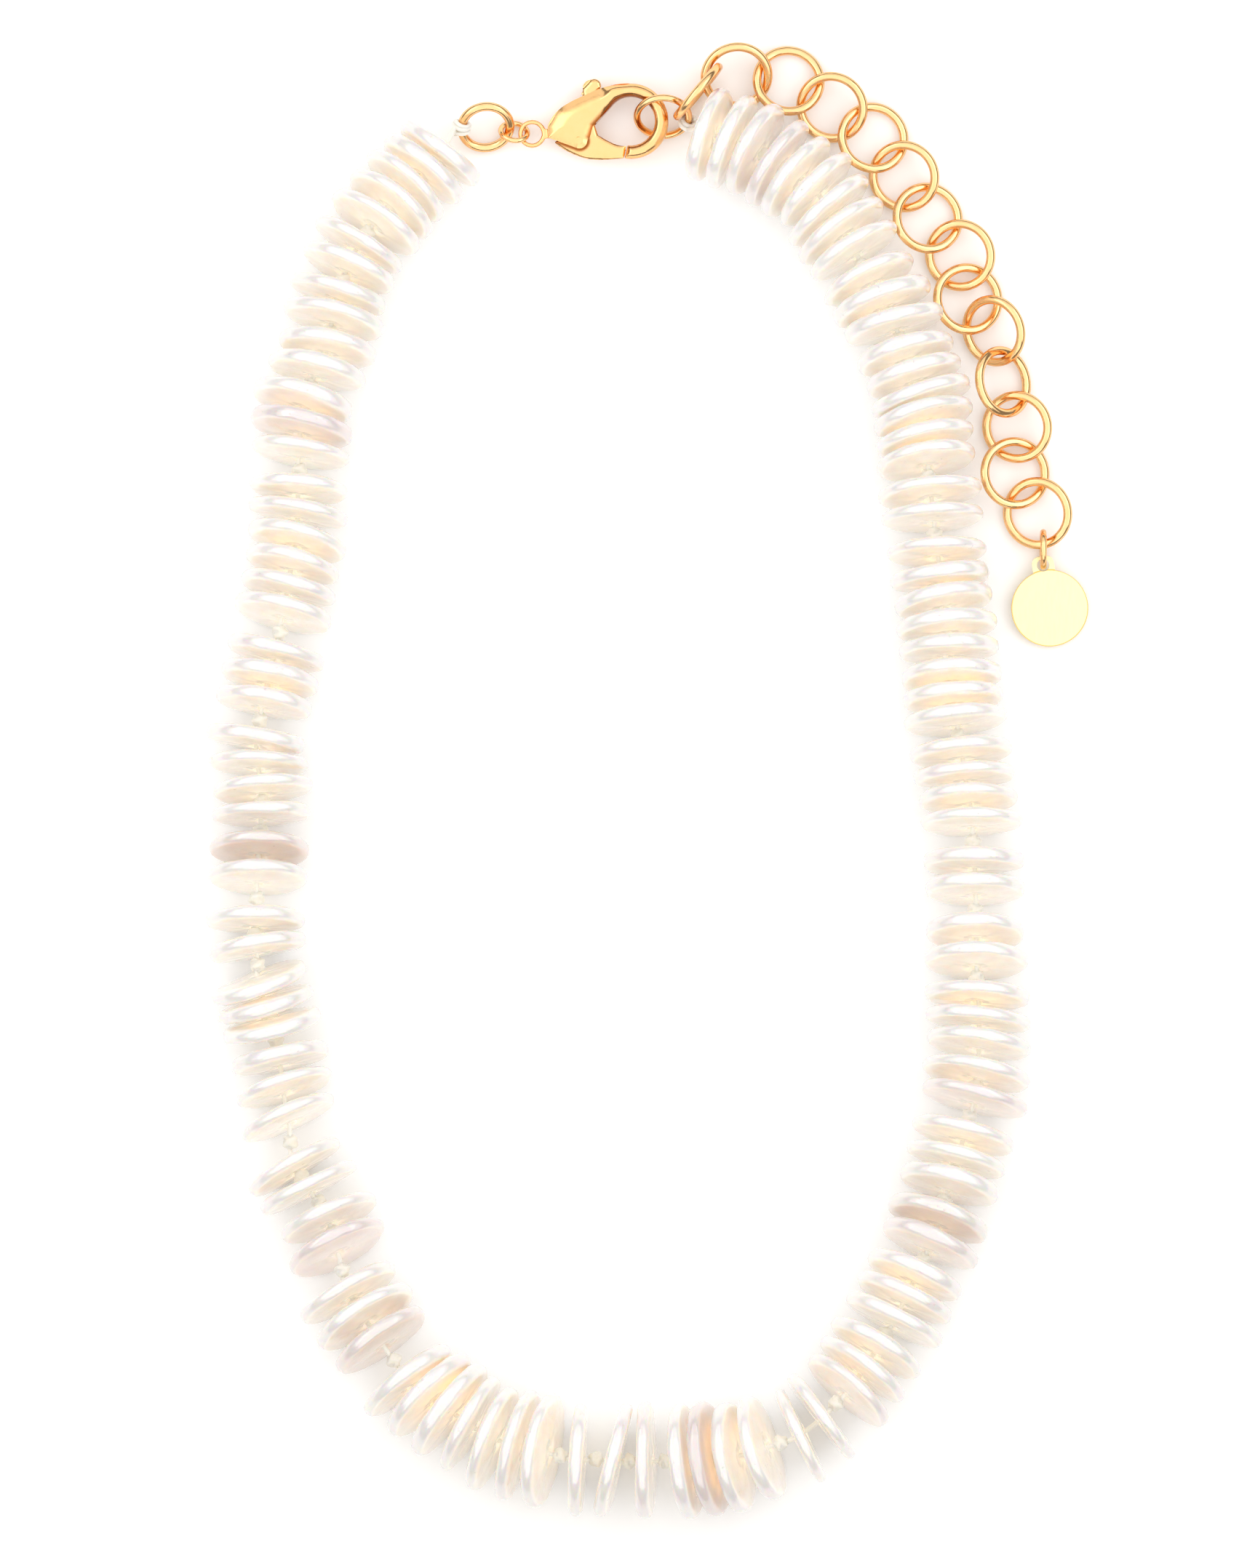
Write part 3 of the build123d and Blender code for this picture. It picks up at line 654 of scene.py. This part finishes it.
def even_steps(line, step=0.06):
    """The same closed line with a point every step of its length."""
    line = np.vstack([line, line[:1]])
    length = np.concatenate([[0], np.cumsum(np.linalg.norm(np.diff(line, axis=0), axis=1))])
    wanted_at = np.arange(0, length[-1], step)
    return np.stack([np.interp(wanted_at, length, line[:, k]) for k in range(2)], axis=1)


housing_outline = even_steps(np.vstack([
    flowing([(-4.07, 1.85), (-2.5, 4.07), (0.28, 5.64), (3.6, 6.95), (6.5, 7.3)]),
    arc(HOOK, HOOK_OUTER, 90, -99), arc(HOOK, HOOK_INNER, -97, 145),
    np.array([(1.75, 1.9), (1.3, 0.5)]), arc(np.zeros(2), PIN_BOSS, 0, -120, 12),
    np.array([(-3.98, 0.4)])]))
tab_top = arc(TAB_MIDDLE, TAB_RADIUS, 150, 0, 12)
tab_outline = np.vstack([tab_top, [(2.75, 6.9), (1.0, 6.15), (0.12, 5.9)]])
lever_outline = even_steps(np.vstack([
    flowing([(5.7, -2.3), (3.2, -2.4), (0.83, -2.25), (-0.65, -1.76), (-2.0, -1.1), (-3.24, -0.19)]),
    np.array([(-1.5, 1.0), (-0.65, 2.5), (0.4, 5.9)]), arc(np.array([1.5, 6.3]), 1.2, 185, 160, 4),
    tab_top, np.array([(2.75, 6.9), (2.5, 6.4), (1.76, 2.5), (2.3, 0.74)]),
    flowing([(3.4, 0.1), (4.7, -0.5), (5.9, -0.6)])]))


def distance(points, line):
    """How far each point lies from the nearest point of a line, in blocks that fit in memory."""
    blocks = [np.sqrt(((block[:, None] - line[None]) ** 2).sum(axis=2).min(axis=1))
              for block in np.array_split(points, len(points) // 4000 + 1)]
    return np.concatenate(blocks)


def relaxed(points, edges, times):
    """Each point moved half way to the middle of its neighbours, several times over."""
    near = np.bincount(edges.ravel(), minlength=len(points))[:, None]
    for _ in range(times):
        total = np.zeros_like(points)
        np.add.at(total, edges[:, 0], points[edges[:, 1]])
        np.add.at(total, edges[:, 1], points[edges[:, 0]])
        points = (points + total / near) / 2
    return points


def prism(outline, half):
    """A plate with a flat outline, half above and half below the clasp's middle plane."""
    size = len(outline)
    points = np.vstack([np.hstack([outline, np.full((size, 1), level)]) for level in (-half, half)])
    turn_on = np.arange(size)
    onward_one = (turn_on + 1) % size
    walls = np.stack([turn_on, onward_one, onward_one + size, turn_on + size], axis=1).tolist()
    mesh = bpy.data.meshes.new("plate")
    mesh.from_pydata((points @ clasp_ways / 1000 + pivot).tolist(), [],
                     walls + [turn_on[::-1].tolist(), (turn_on + size).tolist()])
    return mesh


def cast(name, node, body, outline, dome, crease, crease_width, extra=None):
    """A casting: the node's solid, and an extra plate if there is one, rebuilt in small even steps
    in the clasp's own frame, its edges relaxed, and its two faces brought down to dome(x,
    distance from the outline), apart from the tail eye. Its attribute of painted shade is 1 at the
    crease line and fades out crease_width from it."""
    shape = bmesh.new()
    shape.from_mesh(frame["nodes"][node].data)
    if extra:
        shape.from_mesh(extra)
    bmesh.ops.remove_doubles(shape, verts=shape.verts, dist=1e-7)
    rough = bpy.data.meshes.new(name + "_rough")
    shape.to_mesh(rough)
    shape.free()
    corners = np.empty(len(rough.vertices) * 3)
    rough.vertices.foreach_get("co", corners)
    rough.vertices.foreach_set("co", ((corners.reshape(-1, 3) - pivot) @ clasp_ways.T * 1000).ravel())
    held = bpy.data.objects.new(name + "_rough", rough)
    bpy.context.collection.objects.link(held)
    remesh = held.modifiers.new("even", "REMESH")
    remesh.mode = "VOXEL"
    remesh.voxel_size = VOXEL
    even = bpy.data.meshes.new_from_object(held.evaluated_get(bpy.context.evaluated_depsgraph_get()))
    at = np.empty(len(even.vertices) * 3)
    even.vertices.foreach_get("co", at)
    edges = np.empty(len(even.edges) * 2, dtype=np.int32)
    even.edges.foreach_get("vertices", edges)
    at, edges = at.reshape(-1, 3), edges.reshape(-1, 2)
    at = relaxed(at, edges, FIRST_POLISH)
    domed = dome(at[:, 0], distance(at[:, :2], outline))
    level = np.abs(at[:, 2])
    at[:, 2] = np.sign(at[:, 2]) * np.where(at[:, 0] > TAIL_FROM, np.minimum(level, domed), level)
    at = relaxed(at, edges, LAST_POLISH)
    even.vertices.foreach_set("co", (at @ clasp_ways / 1000 + pivot).ravel())
    even.update()
    # Painted shade: 1 along the crease line, fading out crease_width from it, where the casting is painted
    # deep brown.
    hollow = 1 - smooth(distance(at[:, :2], crease), CREASE_CORE, crease_width)
    even.attributes.new("hollow", "FLOAT", "POINT").data.foreach_set("value", hollow)
    bpy.data.objects.remove(held)
    even.materials.clear()
    even.materials.append(gold_cast.material)
    even.shade_smooth()
    made = bpy.data.objects.new(name, even)
    bpy.context.collection.objects.link(made)
    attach(made, body)
    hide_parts(node)


def housing_dome(x, depth):
    """Half the housing's thickness: an arch up from its rim, a parabola on the housing that turns
    into a quarter ellipse, lower and narrower, at the nose."""
    to_nose = smooth(x, NOSE_FROM, NOSE_FULL)
    top_half = np.interp(x, THINNING, [HOUSING_HALF, NOSE_HALF])
    rim_half = HOUSING_RIM + (NOSE_RIM - HOUSING_RIM) * to_nose
    width = HOUSING_DOME + (NOSE_DOME - HOUSING_DOME) * to_nose
    share_in = np.clip(depth / width, 0, 1)
    arch = 1 - (1 - share_in) ** 2
    return rim_half + (top_half - rim_half) * arch ** (1 - 0.5 * to_nose)


def lever_dome(x, depth):
    """Half the lever's thickness: a quarter ellipse up from a rim about half as thick."""
    return LEVER_RIM + LEVER_RISE * np.sqrt(1 - (1 - np.clip(depth / LEVER_DOME, 0, 1)) ** 2)


# The casting is painted deep brown along its creases: painted shade in the joint under the housing and
# along the hook's inner edge.
gold_cast = gilding("gilt_casting", (0.95, 0.55, 0.22, 1), (0.98, 0.61, 0.29, 1), 0.09, "hollow")
inner_edge = even_steps(np.vstack([arc(HOOK, HOOK_INNER, 35, 145), [(1.75, 1.9), (1.3, 0.5)]]))
chin = even_steps(np.vstack([arc(np.zeros(2), 1.05, 20, -120, 24), [(-2.2, -0.3), (-3.98, 0.4)]]))
cast("clasp_housing", "clasp_body", "necklace", housing_outline, housing_dome, inner_edge, 0.7)
cast("clasp_lever", "clasp_gate", "gate", lever_outline, lever_dome, chin, 0.5,
     prism(tab_outline[::-1], TAB_HALF))
finished("clasp_pin", gold_cast)


# The tag is stamped from pale gilt sheet and brushed to a satin face, plain on both sides. Its
# turned edge is smoother, and painted redder apart from the ear, a painted reflection of the curved
# edge. Distances from its middle are in mm.
TAG_RADIUS = 0.0049
TAG_EDGE = (4.7, 4.86)
EDGE_END = (4.94, 5.0)
tag_box = np.array(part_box("charm"))
tag_middle = (tag_box[0] + tag_box[1]) / 2
tag_middle[1] = tag_box[0][1] + TAG_RADIUS
tag = Finish("gilt_tag", Metallic=1.0, Roughness=0.3)
tag_at = tag.node("ShaderNodeTexCoord", output="Object")
from_middle = tag.node("ShaderNodeVectorMath", {"operation": "SUBTRACT"}, {0: tag_at, 1: tuple(tag_middle)})
flat = tag.scaled(from_middle, (1000.0, 1000.0, 0.0))
spread_out = tag.node("ShaderNodeVectorMath", {"operation": "LENGTH"}, {0: flat}, 1)
at_edge = tag.ramp(spread_out, *TAG_EDGE) * (1 - tag.ramp(spread_out, *EDGE_END))
brushed = tag.noise(tag.scaled(tag_at, (3000.0, 500.0, 500.0)), 1.0, 3.0, 0.6)
tag_colour = tag.blend(brushed, (0.93, 0.83, 0.44, 1), (0.98, 0.89, 0.54, 1))
# Painted reflection: a redder band round the edge, apart from the ear.
tag.set(Base_Color=tag.blend(at_edge, tag_colour, (0.80, 0.48, 0.14, 1)),
        Roughness=0.34 - 0.16 * at_edge + 0.08 * brushed,
        Normal=tag.bump(brushed - at_edge * 2.0, 0.15, 0.0001))
finished("charm", tag)
